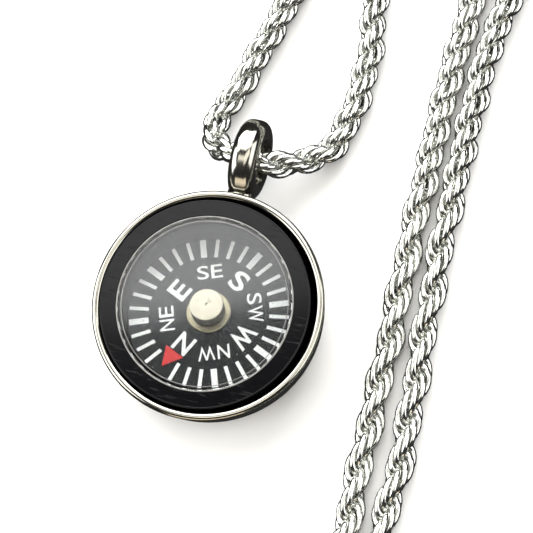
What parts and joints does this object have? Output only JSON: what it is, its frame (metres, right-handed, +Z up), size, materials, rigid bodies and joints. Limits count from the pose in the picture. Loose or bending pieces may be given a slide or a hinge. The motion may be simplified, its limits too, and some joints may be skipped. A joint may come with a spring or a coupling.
{
  "type": "compass pendant",
  "caption": "Round compass pendant: a button compass with a floating dial in a polished steel cup, on a rope chain that closes with a clasp.",
  "frame": {"origin": "centre of the case's flat back, on the surface that the part lies on", "axes": "+Z up out of the dial, +Y from the case towards its bail, +X to the right seen from above"},
  "size_m": [0.0457, 0.183, 0.0089],
  "materials": {
    "polished_steel": "polished stainless steel",
    "chain_steel": "polished stainless steel wire",
    "black_plastic": "glossy moulded black plastic",
    "clear_acrylic": "clear polished acrylic",
    "dial_black": "satin printed card",
    "hub_brass": "turned pale brass",
    "needle_steel": "ground steel"
  },
  "bodies": {
    "root": {"case": "polished_steel", "capsule_base": "black_plastic", "capsule_cover": "clear_acrylic", "pivot_pin": "needle_steel", "chain": "chain_steel", "end_cap_a": "chain_steel", "end_cap_b": "chain_steel", "clasp": "chain_steel"},
    "card": {"dial_card": "dial_black", "hub": "hub_brass"}
  },
  "joints": [
    {"name": "card_spin", "type": "hinge", "parent": "root", "child": "card", "pos_m": [-0.00025, 0, 0.00512], "axis": [0, 0.1822, 0.9833], "continuous": true}
  ]
}
